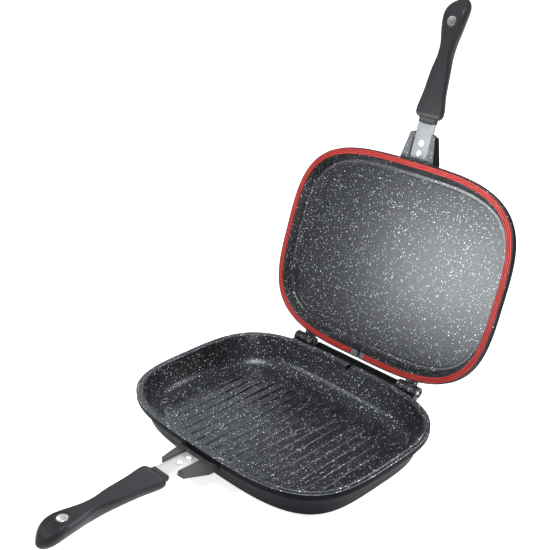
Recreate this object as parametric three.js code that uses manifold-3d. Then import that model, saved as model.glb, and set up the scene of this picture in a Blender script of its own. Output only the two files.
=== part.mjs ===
// Double sided flip pan: a deep ribbed lower pan and a shallow lid pan, both cast in aluminium,
// hinged together at the back, each with half a handle on a steel tang at the front.
// Millimetres. +X runs along the hinge, +Y from the handles to the hinge, +Z is up.
// The origin is the centre of the lower pan's flat underside. The lid stands open at rest.
import * as THREE from 'three';
import { mergeVertices } from 'three/addons/utils/BufferGeometryUtils.js';
import Module from 'manifold-3d';

const wasm = await Module();
wasm.setup();

// Facet counts
const outlineSteps = 72;
const filletSteps = 5;
const roundSteps = 24;
const domeSteps = 3;
const underSteps = 7;

// Outline that both pans share, a superellipse seen from above
const panWidth = 325;
const panDepth = 248;
const outlinePower = 3.43;

// Gap that fixed neighbours keep, and how far a cut runs past what it cuts
const seatGap = 0.3;
const overrun = 2;

// Lower pan
const lowerHeight = 38.5;
const lowerFloor = 4;
const lowerBaseInset = 14.5;
const lowerBaseFillet = 6;
const lowerFlangeStep = 5.5;
const rimWidth = 7.5;
const lipChamfer = 0.8;
const wallDraft = THREE.MathUtils.degToRad(25);
const floorFillet = 22;
const rimGrooveInset = 2.6;
const rimGrooveWidth = 2.4;
const rimGrooveDepth = 0.8;
const rimGrooveFlare = 0.4;

// Flange band round both rims
const flangeHeight = 7.5;
const flangeRound = 0.8;

// Ribs on the lower floor
const ribCount = 18;
const ribWidth = 3.4;
const ribTopWidth = 1.5;
const ribHeight = 1.5;
const ribSink = 0.5;
const ribMarginBack = 14.5;
const ribMarginFront = 2.5;
const ribFieldPower = 3;

// Pouring notch through the back of the lower rim
const notchWidth = 6;
const notchDepth = 6;
const notchOffset = 1;

// Lid pan
const lidHeight = 18.5;
const lidFloor = 4;
const lidBaseInset = 13.5;
const lidBaseFillet = 5;
const lidFlangeStep = 5;
const lidLip = 1;
const ledgeStep = 1.3;
const ledgeWidth = 2.4;
const ledgeDrop = 0.2;
const ledgeEdge = 0.6;
const ledgeInset = 16.5;
const lidFillet = 4;

// Gasket in the lid's rim groove, open at the back where the vent slot is
const gasketInset = 1.5;
const gasketWidth = 6.5;
const gasketHeight = 3.6;
const gasketProud = 0.9;
const gasketRibs = 3;
const gasketRibHeight = 0.5;
const gasketEndLeft = 12;
const gasketEndRight = 9;
const ventWidth = 4;
const ventDepth = 3.4;

// Gap between the two rims when the lid is shut
const lidGap = 1.2;

// Hinge: two clevises on the lower pan, two eyes on the lid
const lidAngle = THREE.MathUtils.degToRad(108.7);
const hingeBehind = 5.9;
const hingeDrop = 0.55;
const knuckleRadius = 7;
const cheekInnerStart = 68;
const cheekInnerWidth = 5.7;
const eyeWidth = 14;
const cheekOuterWidth = 8.7;
const pinRadius = 2.5;
const pinClearance = 0.1;
const pinSocketRadius = 4.6;
const pinSocketDepth = 1.6;
const pinDome = 0.6;
const pinInnerSet = 0.4;
const webTopDrop = 1.6;
const webRootInset = 14;
const webDepth = 20;
const heelReach = 10.5;
const heelHalf = 3;
const stopLength = 5;
const armSet = 0.3;

// Drip tray that slides in between the clevises
const trayEndGap = 1.6;
const trayRimGap = 1.2;
const trayWidth = 12.2;
const trayTopDrop = 0.8;
const trayHeight = 8.4;
const trayFrontHeight = 2.8;
const trayWall = 1.5;
const ledgeReach = 4;
const ledgeThickness = 2;

// Tang: a flat steel plate riveted into a forked bracket on each pan, with a tongue in the handle
const rivetMiddle = 15;
const rivetPitch = 12.5;
const plateDrop = 10.5;
const plateThickness = 3;
const plateWidth = 24;
const plateInnerEnd = 12;
const tangTilt = THREE.MathUtils.degToRad(2.3);
const tongueWidth = 13;
const tongueLength = 28;
const rivetHeadRadius = 3.9;
const rivetHeadHeight = 1.8;
const rivetShankRadius = 2;
const rivetGrip = 4.2;

// Forked bracket
const prongRise = 2.5;
const forkRootWidth = 48;
const forkTipWidth = 36;
const forkReach = 19;
const forkRootLength = 14;
const forkBury = 13;
const forkRootDepth = 12.5;
const forkTipDepth = 6.5;
const forkTipSlant = 2.5;

// Half handle, measured from the middle of the rivets
const handleStart = 30;
const handleLength = 146.5;
const handleWidth = 38;
const handleThickness = 20;
const faceRise = 3;
const handleChamfer = 3.6;
const underPower = 2.5;

// Along the handle: length share, width share, face share of that width, thickness share, and
// the share of the thickness by which the face drops, at the collar and at the tip
const handleShares = [
  [0, 0.632, 0.958, 0.48, 0.09],
  [0.033, 0.632, 0.958, 0.48, 0.09],
  [0.041, 0.728, 0.945, 0.515, 0.067],
  [0.051, 0.875, 0.932, 0.573, 0.031],
  [0.066, 0.96, 0.929, 0.62, 0.008],
  [0.082, 0.989, 0.927, 0.643, 0.001],
  [0.109, 0.986, 0.925, 0.652, 0],
  [0.137, 0.953, 0.923, 0.655, 0],
  [0.171, 0.894, 0.925, 0.665, 0],
  [0.205, 0.829, 0.931, 0.677, 0],
  [0.246, 0.77, 0.931, 0.689, 0],
  [0.294, 0.731, 0.924, 0.701, 0],
  [0.341, 0.697, 0.913, 0.71, 0],
  [0.396, 0.658, 0.896, 0.72, 0],
  [0.444, 0.605, 0.855, 0.753, 0],
  [0.485, 0.547, 0.815, 0.799, 0],
  [0.519, 0.489, 0.796, 0.85, 0],
  [0.553, 0.459, 0.786, 0.89, 0],
  [0.587, 0.463, 0.753, 0.912, 0],
  [0.621, 0.489, 0.724, 0.912, 0],
  [0.662, 0.56, 0.698, 0.895, 0],
  [0.703, 0.644, 0.703, 0.879, 0],
  [0.744, 0.718, 0.733, 0.876, 0],
  [0.785, 0.77, 0.758, 0.884, 0.001],
  [0.819, 0.8, 0.77, 0.915, 0.005],
  [0.846, 0.819, 0.766, 0.914, 0.03],
  [0.874, 0.825, 0.763, 0.893, 0.079],
  [0.901, 0.803, 0.747, 0.841, 0.165],
  [0.928, 0.735, 0.718, 0.769, 0.276],
  [0.952, 0.618, 0.675, 0.661, 0.407],
  [0.973, 0.464, 0.614, 0.516, 0.557],
  [0.988, 0.294, 0.535, 0.347, 0.693],
  [0.997, 0.176, 0.486, 0.198, 0.783],
  [1, 0.126, 0.458, 0.13, 0.82],
];

// Magnet in its steel cup, let into the handle's face
const magnetFromTip = 28.5;
const magnetRadius = 5.8;
const cupRadius = 8.2;
const cupBore = 6.1;
const cupDepth = 3.9;
const cupFloor = 1;
const magnetSet = 0.2;

// Screw that holds the handle to its tang, from the handle's back
const screwFromStart = 15;
const screwShankRadius = 1.7;
const screwHeadRadius = 3.4;
const screwHeadHeight = 2.2;
const screwSeat = 3.2;

// Finishes
const finishes = {
  coating: { color: 0x2e2f32, roughness: 0.5, metalness: 0.2 },
  silicone: { color: 0xc4423a, roughness: 0.6, metalness: 0 },
  handle: { color: 0x3b3b3d, roughness: 0.6, metalness: 0 },
  plate: { color: 0xd8d5d0, roughness: 0.35, metalness: 0.9 },
  rivet: { color: 0xe4e2de, roughness: 0.2, metalness: 1 },
  magnet: { color: 0xb9b4a8, roughness: 0.35, metalness: 0.9 },
  cup: { color: 0x242426, roughness: 0.5, metalness: 0.5 },
  screw: { color: 0x8c8c8e, roughness: 0.35, metalness: 0.9 },
  pin: { color: 0x9a9a9c, roughness: 0.35, metalness: 0.9 },
  tray: { color: 0x18181a, roughness: 0.6, metalness: 0 },
};

// Derived places
const hingeY = panDepth / 2 + hingeBehind;
const floorStart = floorInset();
const grooveInset = gasketInset - seatGap;
const grooveWidth = gasketWidth + 2 * seatGap;
const grooveDepth = gasketHeight - gasketProud + seatGap;
const lidRimWidth = grooveInset + grooveWidth + lidLip;
const eyeStart = cheekInnerStart + cheekInnerWidth + seatGap;
const cheekOuterStart = eyeStart + eyeWidth + seatGap;
const hingeEnd = cheekOuterStart + cheekOuterWidth;
const lidAxisRise = hingeDrop + lidGap;
const magnetReach = handleStart + handleLength - magnetFromTip;
const tongueEnd = -handleStart - tongueLength;
const screwPlace = -handleStart - screwFromStart;

// Where the lower floor's fillet ends, from the rim width, the wall's draft and the fillet
function floorInset() {
  const depth = lowerHeight - lowerFloor;
  const tangentDepth = depth - floorFillet * (1 - Math.sin(wallDraft));
  return rimWidth + tangentDepth * Math.tan(wallDraft) + floorFillet * Math.cos(wallDraft);
}

// Point of the outline at an angle, moved inwards along its normal
function outlinePoint(angle, inset) {
  const c = Math.cos(angle);
  const s = Math.sin(angle);
  const x = (panWidth / 2) * Math.sign(c) * Math.abs(c) ** (2 / outlinePower);
  const y = (panDepth / 2) * Math.sign(s) * Math.abs(s) ** (2 / outlinePower);
  const grow = 2 - 2 / outlinePower;
  const nx = (Math.sign(c) * Math.abs(c) ** grow) / (panWidth / 2);
  const ny = (Math.sign(s) * Math.abs(s) ** grow) / (panDepth / 2);
  const size = Math.hypot(nx, ny);
  return [x - (inset * nx) / size, y - (inset * ny) / size];
}

// Angle at which the back of the outline passes a given X
function backAngle(x) {
  const share = (Math.abs(x) / (panWidth / 2)) ** (outlinePower / 2);
  const quarter = Math.acos(share);
  return x > 0 ? quarter : Math.PI - quarter;
}

// Closed surface through rings of points, capped by a fan at each end
function ringLoft(rings) {
  const count = rings[0].length;
  const centre = (ring) => ring.reduce((sum, p) => sum.add(p), new THREE.Vector3()).divideScalar(count);
  const points = [...rings.flat(), centre(rings[0]), centre(rings[rings.length - 1])];
  const first = points.length - 2;
  const last = points.length - 1;
  const faces = [];
  for (let step = 0; step < count; step++) {
    const next = (step + 1) % count;
    faces.push(first, next, step);
    for (let ring = 0; ring < rings.length - 1; ring++) {
      const low = ring * count;
      const high = low + count;
      faces.push(low + step, low + next, high + next, low + step, high + next, high + step);
    }
    const top = (rings.length - 1) * count;
    faces.push(last, top + step, top + next);
  }
  const geometry = new THREE.BufferGeometry().setFromPoints(points);
  geometry.setIndex(faces);
  return geometry;
}

// Solid whose rings follow the pan outline, from inset and height pairs
function outlineLoft(profile) {
  const ring = ([inset, height]) => Array.from({ length: outlineSteps }, (_, step) => {
    const [x, y] = outlinePoint((2 * Math.PI * step) / outlineSteps, inset);
    return new THREE.Vector3(x, y, height);
  });
  return ringLoft(profile.map(ring));
}

// Prism whose side view, in Y and Z, is a polygon
function sidePrism(points, xFrom, xTo) {
  const shape = new THREE.Shape(points.map(([y, z]) => new THREE.Vector2(y, z)));
  const geometry = new THREE.ExtrudeGeometry(shape, { depth: xTo - xFrom, bevelEnabled: false });
  geometry.rotateZ(Math.PI / 2).rotateY(Math.PI / 2);
  return geometry.translate(xFrom, 0, 0);
}

// Box from its low and high corners
function boxBetween(low, high) {
  const size = high.map((value, axis) => value - low[axis]);
  const middle = high.map((value, axis) => (value + low[axis]) / 2);
  return new THREE.BoxGeometry(...size).translate(...middle);
}

// Cylinder along X between two places
function rodAlongX(radius, xFrom, xTo, y, z) {
  const geometry = new THREE.CylinderGeometry(radius, radius, xTo - xFrom, roundSteps);
  return geometry.rotateZ(Math.PI / 2).translate((xFrom + xTo) / 2, y, z);
}

// Cylinder along Y between two places
function rodAlongY(radius, yFrom, yTo, x, z) {
  const geometry = new THREE.CylinderGeometry(radius, radius, yTo - yFrom, roundSteps);
  return geometry.translate(x, (yFrom + yTo) / 2, z);
}

// Cylinder along Z between two heights
function rodAlongZ(radius, x, y, zFrom, zTo) {
  const geometry = new THREE.CylinderGeometry(radius, radius, zTo - zFrom, roundSteps);
  return geometry.rotateX(Math.PI / 2).translate(x, y, (zFrom + zTo) / 2);
}

// Turned piece round Z, from radius and height pairs
function turned(profile) {
  const points = profile.map(([radius, height]) => new THREE.Vector2(radius, height));
  return new THREE.LatheGeometry(points, roundSteps).rotateX(Math.PI / 2);
}

// Closed geometry as a solid that can be joined and cut
function solid(geometry) {
  const plain = geometry.clone();
  plain.deleteAttribute('normal');
  plain.deleteAttribute('uv');
  const merged = mergeVertices(plain);
  const vertProperties = new Float32Array(merged.getAttribute('position').array);
  const triVerts = new Uint32Array(merged.getIndex().array);
  return new wasm.Manifold(new wasm.Mesh({ numProp: 3, vertProperties, triVerts }));
}

// Solid back as a geometry
function geometryOf(body) {
  const mesh = body.getMesh();
  const geometry = new THREE.BufferGeometry();
  geometry.setAttribute('position', new THREE.BufferAttribute(mesh.vertProperties, 3));
  geometry.setIndex(new THREE.BufferAttribute(mesh.triVerts, 1));
  return geometry;
}

// Joins a list of geometries to a solid
function joined(body, geometries) {
  return geometries.reduce((sum, geometry) => sum.add(solid(geometry)), body);
}

// Cuts a list of geometries from a solid
function cut(body, geometries) {
  return geometries.reduce((rest, geometry) => rest.subtract(solid(geometry)), body);
}

// Geometry reflected in the rim plane, with its faces turned out again
function reflected(geometry) {
  const copy = mergeVertices(geometry.clone().deleteAttribute('normal').deleteAttribute('uv'));
  copy.scale(1, 1, -1);
  const index = copy.getIndex();
  for (let corner = 0; corner < index.count; corner += 3) {
    const second = index.getX(corner + 1);
    index.setX(corner + 1, index.getX(corner + 2));
    index.setX(corner + 2, second);
  }
  return copy;
}

// Quarter round in inset and height, from the underside to the wall
function filletRings(inset, height, radius) {
  return Array.from({ length: filletSteps + 1 }, (_, step) => {
    const turn = (Math.PI / 2) * (step / filletSteps);
    return [inset + radius * (1 - Math.sin(turn)), height + radius * (1 - Math.cos(turn))];
  });
}

// Outside of a pan whose rim is at height 0, up to the rim's own top features
function panOutside(height, baseInset, baseFillet, flangeStep, rimTop) {
  return outlineLoft([
    ...filletRings(baseInset, -height, baseFillet),
    [flangeStep, -flangeHeight],
    [flangeRound, -flangeHeight],
    [0, flangeRound - flangeHeight],
    [0, -flangeRound],
    [flangeRound, 0],
    ...rimTop,
  ]);
}

// Hollow of the lower pan: flat floor, wide fillet, drafted wall and a chamfered lip
function lowerHollow() {
  const floor = lowerFloor - lowerHeight;
  const centre = floor + floorFillet;
  const fillet = Array.from({ length: filletSteps + 1 }, (_, step) => {
    const turn = (Math.PI / 2) - (Math.PI / 2 - wallDraft) * (step / filletSteps);
    const inset = floorStart - floorFillet * Math.cos(turn);
    return [inset, centre - floorFillet * Math.sin(turn)];
  });
  const lipTop = rimWidth + lipChamfer * Math.tan(wallDraft);
  return outlineLoft([
    ...fillet,
    [lipTop, -lipChamfer],
    [rimWidth - lipChamfer, 0],
    [rimWidth - 2 * lipChamfer, lipChamfer],
  ]);
}

// Hollow of the lid: floor, a low step round it, a ledge, a fillet and a drafted wall
function lidHollow() {
  const floor = lidFloor - lidHeight;
  const ledge = floor + ledgeStep;
  return outlineLoft([
    [ledgeInset + ledgeWidth + ledgeEdge, floor],
    [ledgeInset + ledgeWidth, ledge],
    [ledgeInset, ledge + ledgeDrop],
    [ledgeInset - lidFillet / 2, ledge + ledgeDrop + lidFillet / 4],
    [ledgeInset - lidFillet, ledge + ledgeDrop + lidFillet],
    [lidRimWidth, 0],
    [lidRimWidth - lidLip / 2, lidLip],
  ]);
}

// Low ridge with sloping sides and ends, standing on the floor
function rib(x) {
  const halfWidth = panWidth / 2 - floorStart;
  const halfDepth = panDepth / 2 - floorStart - (ribMarginBack + ribMarginFront) / 2;
  const length = 2 * halfDepth * (1 - Math.abs(x / halfWidth) ** ribFieldPower) ** (1 / ribFieldPower);
  const slope = ribWidth - ribTopWidth;
  const geometry = new THREE.BoxGeometry(ribWidth, length, ribHeight + ribSink);
  const place = geometry.getAttribute('position');
  for (let corner = 0; corner < place.count; corner++) {
    if (place.getZ(corner) > 0) {
      place.setX(corner, place.getX(corner) * (ribTopWidth / ribWidth));
      place.setY(corner, place.getY(corner) * ((length - slope) / length));
    }
  }
  const floor = lowerFloor - lowerHeight;
  return geometry.translate(x, (ribMarginFront - ribMarginBack) / 2, floor + (ribHeight - ribSink) / 2);
}

// Ribs evenly spaced across the floor
function ribs() {
  const pitch = (panWidth - 2 * floorStart) / (ribCount + 1);
  return Array.from({ length: ribCount }, (_, place) => rib((place - (ribCount - 1) / 2) * pitch));
}

// Frame of the tang: origin on the plate between its rivets, tilted up towards the handle's end
function tangFrame() {
  const turn = new THREE.Matrix4().makeRotationX(-tangTilt);
  return turn.setPosition(0, -panDepth / 2 - rivetMiddle, -plateDrop);
}

// Moves a geometry from the tang's frame to the rim's
function fromTang(geometry) {
  return geometry.applyMatrix4(tangFrame());
}

// Forked bracket that seats the tang, in the tang's frame
function fork() {
  const rootHalf = forkRootWidth / 2;
  const tipHalf = forkTipWidth / 2;
  const back = forkRootLength + forkBury;
  const plan = new THREE.Shape([
    new THREE.Vector2(-tipHalf, forkTipSlant - forkReach),
    new THREE.Vector2(-plateWidth / 2, -forkReach),
    new THREE.Vector2(plateWidth / 2, -forkReach),
    new THREE.Vector2(tipHalf, forkTipSlant - forkReach),
    new THREE.Vector2(rootHalf, forkRootLength),
    new THREE.Vector2(rootHalf, back),
    new THREE.Vector2(-rootHalf, back),
    new THREE.Vector2(-rootHalf, forkRootLength),
  ]);
  const rise = forkRootDepth + prongRise;
  const block = new THREE.ExtrudeGeometry(plan, { depth: rise, bevelEnabled: false });
  block.translate(0, 0, -forkRootDepth);
  const side = sidePrism([
    [-forkReach - overrun, -forkTipDepth],
    [forkRootLength, -forkRootDepth],
    [back, -forkRootDepth],
    [back, prongRise],
    [-forkReach - overrun, prongRise],
  ], -rootHalf, rootHalf);
  const seatHalf = plateWidth / 2 + seatGap;
  const seat = boxBetween(
    [-seatHalf, -forkReach - overrun, -plateThickness - seatGap],
    [seatHalf, plateInnerEnd + seatGap, prongRise + overrun],
  );
  const body = solid(block).intersect(solid(side));
  return geometryOf(cut(body, [seat, ...rivetHoles()]));
}

// Rivet places along the plate, in the tang's frame
const rivetPlaces = [rivetPitch / 2, -rivetPitch / 2];

// Holes for the rivets, through the plate and into the shelf under it
function rivetHoles() {
  const bottom = -plateThickness - rivetGrip - seatGap;
  return rivetPlaces.map((y) => rodAlongZ(rivetShankRadius + seatGap, 0, y, bottom, overrun));
}

// Domed rivet, in the tang's frame
function rivet(y) {
  const dome = Array.from({ length: domeSteps }, (_, step) => {
    const turn = (Math.PI / 2) * (step / domeSteps);
    return [rivetHeadRadius * Math.cos(turn), seatGap + rivetHeadHeight * Math.sin(turn)];
  });
  const bottom = -plateThickness - rivetGrip;
  const profile = [
    [0, bottom],
    [rivetShankRadius, bottom],
    [rivetShankRadius, seatGap],
    ...dome,
    [0, seatGap + rivetHeadHeight],
  ];
  return turned(profile).translate(0, y, 0);
}

// Tang plate: wide in the fork, then a tongue in the handle
function tang() {
  const half = plateWidth / 2;
  const tongue = tongueWidth / 2;
  const shoulder = seatGap - handleStart;
  const plan = new THREE.Shape([
    new THREE.Vector2(-half, plateInnerEnd),
    new THREE.Vector2(-half, shoulder),
    new THREE.Vector2(-tongue, shoulder),
    new THREE.Vector2(-tongue, tongueEnd),
    new THREE.Vector2(tongue, tongueEnd),
    new THREE.Vector2(tongue, shoulder),
    new THREE.Vector2(half, shoulder),
    new THREE.Vector2(half, plateInnerEnd),
  ]);
  const plate = new THREE.ExtrudeGeometry(plan, { depth: plateThickness, bevelEnabled: false });
  plate.translate(0, 0, -plateThickness);
  const hole = rodAlongZ(screwShankRadius + seatGap, 0, screwPlace, -plateThickness - overrun, overrun);
  return geometryOf(cut(solid(plate), [...rivetHoles(), hole]));
}

// Handle section at a share of its length: flat face, chamfered edges and a rounded back
function handleRing([along, widthShare, faceShare, thickShare, dropShare]) {
  const half = (handleWidth * widthShare) / 2;
  const face = half * faceShare;
  const thickness = handleThickness * thickShare;
  const top = faceRise - handleThickness * dropShare;
  const chamfer = Math.min(handleChamfer, thickness / 3);
  const y = -handleStart - handleLength * along;
  const ring = [new THREE.Vector3(face, y, top), new THREE.Vector3(-face, y, top)];
  for (let step = 0; step <= 2 * underSteps; step++) {
    const turn = Math.PI * (1 - step / (2 * underSteps));
    const c = Math.cos(turn);
    const across = half * Math.sign(c) * Math.abs(c) ** (2 / underPower);
    const under = (thickness - chamfer) * Math.sin(turn) ** (2 / underPower);
    ring.push(new THREE.Vector3(across, y, top - chamfer - under));
  }
  return ring;
}

// Half handle with the tongue's channel, the screw's hole and counterbore, and the magnet's pocket
function handle() {
  const body = solid(ringLoft(handleShares.map(handleRing)));
  const half = tongueWidth / 2 + seatGap;
  const channel = boxBetween(
    [-half, tongueEnd - seatGap, -plateThickness - seatGap],
    [half, overrun - handleStart, seatGap],
  );
  const headTop = -plateThickness - seatGap - screwSeat;
  const bottom = -handleThickness - overrun;
  const shankHole = rodAlongZ(screwShankRadius + seatGap, 0, screwPlace, bottom, 0);
  const counterbore = rodAlongZ(screwHeadRadius + seatGap, 0, screwPlace, bottom, headTop);
  const pocketTop = faceRise + overrun;
  const pocketFloor = faceRise - magnetSet - cupDepth - seatGap;
  const pocket = rodAlongZ(cupRadius + seatGap, 0, -magnetReach, pocketFloor, pocketTop);
  return geometryOf(cut(body, [channel, shankHole, counterbore, pocket]));
}

// Steel cup round the magnet
function magnetCup() {
  const top = faceRise - magnetSet;
  const bottom = top - cupDepth;
  const profile = [
    [0, bottom],
    [cupRadius, bottom],
    [cupRadius, top],
    [cupBore, top],
    [cupBore, bottom + cupFloor],
    [0, bottom + cupFloor],
  ];
  return turned(profile).translate(0, -magnetReach, 0);
}

// Magnet disc in its cup
function magnet() {
  const top = faceRise - magnetSet;
  const bottom = top - cupDepth + cupFloor + seatGap;
  return rodAlongZ(magnetRadius, 0, -magnetReach, bottom, top);
}

// Screw: a head in the handle's back and a shank that ends in the tongue
function handleScrew() {
  const headTop = -plateThickness - 2 * seatGap - screwSeat;
  const profile = [
    [0, headTop - screwHeadHeight],
    [screwHeadRadius, headTop - screwHeadHeight],
    [screwHeadRadius, headTop],
    [screwShankRadius, headTop],
    [screwShankRadius, -seatGap],
    [0, -seatGap],
  ];
  return turned(profile).translate(0, screwPlace, 0);
}

// Clevis cheek: a round knuckle on a web that runs into the pan's wall
function cheek(xFrom, xTo, foot) {
  const root = panDepth / 2 - webRootInset;
  const knuckle = rodAlongX(knuckleRadius, xFrom, xTo, hingeY, -hingeDrop);
  const web = sidePrism([
    [root, -webTopDrop],
    [root, -webDepth],
    ...foot,
    [hingeY, -hingeDrop - knuckleRadius],
    [hingeY, -webTopDrop],
  ], xFrom, xTo);
  return [knuckle, web];
}

// Block under the eye that stops the open lid, facing the heel
function stopBlock(xFrom, xTo) {
  const root = panDepth / 2 - webRootInset;
  const along = [Math.cos(lidAngle), -Math.sin(lidAngle)];
  const forward = [-Math.sin(lidAngle), -Math.cos(lidAngle)];
  const place = (reach) => [0, 1].map((axis) => {
    const centre = [hingeY, -hingeDrop][axis];
    return centre + along[axis] * reach + forward[axis] * (heelHalf + seatGap);
  });
  const top = place(knuckleRadius + lipChamfer);
  const bottom = place(knuckleRadius + lipChamfer + stopLength);
  return sidePrism([[root, top[1]], [root, -webDepth], bottom, top], xFrom, xTo);
}

// Places of the drip tray, between the clevises and behind the rim
const trayHalf = cheekInnerStart - trayEndGap;
const trayFront = panDepth / 2 + trayRimGap;
const trayBack = trayFront + trayWidth;
const trayTop = -trayTopDrop;
const trayBottom = trayTop - trayHeight;

// Both clevises, their stops and the ledges that carry the drip tray
function clevises() {
  const ledgeTop = trayBottom - seatGap;
  const ledgeLow = ledgeTop - ledgeThickness;
  return [-1, 1].flatMap((hand) => {
    const span = (from, to) => (hand > 0 ? [from, to] : [-to, -from]);
    const inner = span(cheekInnerStart, cheekInnerStart + cheekInnerWidth);
    const outer = span(cheekOuterStart, hingeEnd);
    const between = span(eyeStart - 2 * seatGap, cheekOuterStart + seatGap);
    const shelf = span(trayHalf - ledgeReach, cheekInnerStart + seatGap);
    const foot = [[trayBack, ledgeLow], [trayBack, ledgeTop]];
    return [
      ...cheek(...inner, foot),
      ...cheek(...outer, []),
      stopBlock(...between),
      boxBetween([shelf[0], trayFront, ledgeLow], [shelf[1], trayBack, ledgeTop]),
    ];
  });
}

// Bores of the lower pan's hinge, with a wider socket round each pin's outer end
function clevisBores() {
  const bore = pinRadius + pinClearance;
  return [-1, 1].flatMap((hand) => {
    const span = (from, to) => (hand > 0 ? [from, to] : [-to, -from]);
    const through = span(cheekInnerStart - overrun, hingeEnd + overrun);
    const socket = span(hingeEnd - pinSocketDepth, hingeEnd + overrun);
    return [
      rodAlongX(bore, ...through, hingeY, -hingeDrop),
      rodAlongX(pinSocketRadius, ...socket, hingeY, -hingeDrop),
    ];
  });
}

// Lower pan, with its rim at height 0
function lowerPan() {
  const rimTop = [
    [rimGrooveInset, 0],
    [rimGrooveInset + rimGrooveFlare, -rimGrooveDepth],
    [rimGrooveInset + rimGrooveWidth - rimGrooveFlare, -rimGrooveDepth],
    [rimGrooveInset + rimGrooveWidth, 0],
  ];
  const outside = panOutside(lowerHeight, lowerBaseInset, lowerBaseFillet, lowerFlangeStep, rimTop);
  const cast = joined(solid(outside), [fromTang(fork()), ...clevises()]);
  const notchRadius = notchWidth / 2;
  const notchFloor = notchRadius - notchDepth;
  const notchStart = panDepth / 2 - floorStart / 2;
  const notch = [
    rodAlongY(notchRadius, notchStart, trayFront, notchOffset, notchFloor),
    boxBetween(
      [notchOffset - notchRadius, notchStart, notchFloor],
      [notchOffset + notchRadius, trayFront, overrun],
    ),
  ];
  const open = cut(cast, [lowerHollow(), ...clevisBores(), ...notch]);
  return geometryOf(joined(open, ribs()));
}

// Hinge eyes of the lid: an arm from the flange, the eye and its heel
function lidEyes() {
  const root = panDepth / 2 - webRootInset / 2;
  return [-1, 1].flatMap((hand) => {
    const [from, to] = hand > 0 ? [eyeStart, eyeStart + eyeWidth] : [-eyeStart - eyeWidth, -eyeStart];
    const arm = sidePrism([
      [root, -armSet],
      [root, armSet - flangeHeight],
      [hingeY, lidAxisRise - knuckleRadius],
      [hingeY, -armSet],
    ], from, to);
    const heel = boxBetween(
      [from, hingeY, lidAxisRise - heelHalf],
      [to, hingeY + heelReach, lidAxisRise + heelHalf],
    );
    return [rodAlongX(knuckleRadius, from, to, hingeY, lidAxisRise), arm, heel];
  });
}

// Pads that close the gasket groove between the gasket's ends
function groovePads() {
  const outer = panDepth / 2 - grooveInset + seatGap;
  const inner = panDepth / 2 - lidRimWidth + lidLip / 2;
  return boxBetween(
    [-gasketEndLeft + seatGap, inner, -grooveDepth - seatGap],
    [gasketEndRight - seatGap, outer, 0],
  );
}

// Ring that cuts the gasket's groove
function lidGroove() {
  const inside = grooveInset + grooveWidth;
  const block = solid(outlineLoft([[grooveInset, -grooveDepth], [grooveInset, overrun]]));
  return block.subtract(solid(outlineLoft([[inside, -lidHeight], [inside, 2 * overrun]])));
}

// Lid pan, rim at height 0 and drawn like the lower one, before it is turned over
function lidPan() {
  const outside = panOutside(lidHeight, lidBaseInset, lidBaseFillet, lidFlangeStep, []);
  const cast = joined(solid(outside), [fromTang(fork()), ...lidEyes()]).subtract(lidGroove());
  const bore = pinRadius + pinClearance;
  const reach = hingeEnd + overrun;
  const vent = boxBetween(
    [-ventWidth / 2, panDepth / 2 - ledgeInset, -ventDepth],
    [ventWidth / 2, panDepth / 2 + overrun, overrun],
  );
  const bores = rodAlongX(bore, -reach, reach, hingeY, lidAxisRise);
  return geometryOf(cut(joined(cast, [groovePads()]), [lidHollow(), vent, bores]));
}

// Gasket section in inset and height: a block with raised ribs on its face
function gasketSection() {
  const faceZ = gasketProud - gasketRibHeight;
  const backZ = gasketProud - gasketHeight;
  const pitch = gasketWidth / gasketRibs;
  const section = [[gasketInset + gasketWidth, backZ], [gasketInset + gasketWidth, faceZ]];
  for (let place = gasketRibs - 1; place >= 0; place--) {
    section.push([gasketInset + (place + 1 / 2) * pitch, gasketProud]);
    section.push([gasketInset + place * pitch, faceZ]);
  }
  section.push([gasketInset, backZ]);
  return section;
}

// Gasket strip round the rim, from one side of the vent to the other, stepped like the groove
function gasket() {
  const start = backAngle(-gasketEndLeft);
  const end = 2 * Math.PI + backAngle(gasketEndRight);
  const turn = (2 * Math.PI) / outlineSteps;
  const angles = [start];
  for (let step = Math.ceil(start / turn); step * turn < end; step++) {
    angles.push(step * turn);
  }
  angles.push(end);
  const section = gasketSection();
  const ring = (angle) => section.map(([inset, height]) => {
    return new THREE.Vector3(...outlinePoint(angle, inset), height);
  });
  return ringLoft(angles.map(ring));
}

// Hinge pin with a domed outer end, for the hinge on the side of a positive X
function hingePin() {
  const from = cheekInnerStart + pinInnerSet;
  const to = hingeEnd - pinInnerSet;
  const profile = [
    [0, from],
    [pinRadius, from],
    [pinRadius, to - pinDome],
    [pinRadius - pinDome, to],
    [0, to],
  ];
  return turned(profile).rotateY(Math.PI / 2).translate(0, hingeY, -hingeDrop);
}

// Drip tray: an open trough, low at the front where the notch pours into it
function dripTray() {
  const body = solid(boxBetween([-trayHalf, trayFront, trayBottom], [trayHalf, trayBack, trayTop]));
  const hollow = boxBetween(
    [trayWall - trayHalf, trayFront + trayWall, trayBottom + trayWall],
    [trayHalf - trayWall, trayBack - trayWall, trayTop + overrun],
  );
  const lowFront = boxBetween(
    [trayWall - trayHalf, trayFront - overrun, trayBottom + trayFrontHeight],
    [trayHalf - trayWall, trayFront + 2 * trayWall, trayTop + overrun],
  );
  return geometryOf(cut(body, [hollow, lowFront]));
}

// Mesh with its own material
function named(name, geometry, finish) {
  const mesh = new THREE.Mesh(geometry, new THREE.MeshStandardMaterial(finishes[finish]));
  mesh.name = name;
  mesh.geometry.computeVertexNormals();
  return mesh;
}

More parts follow.
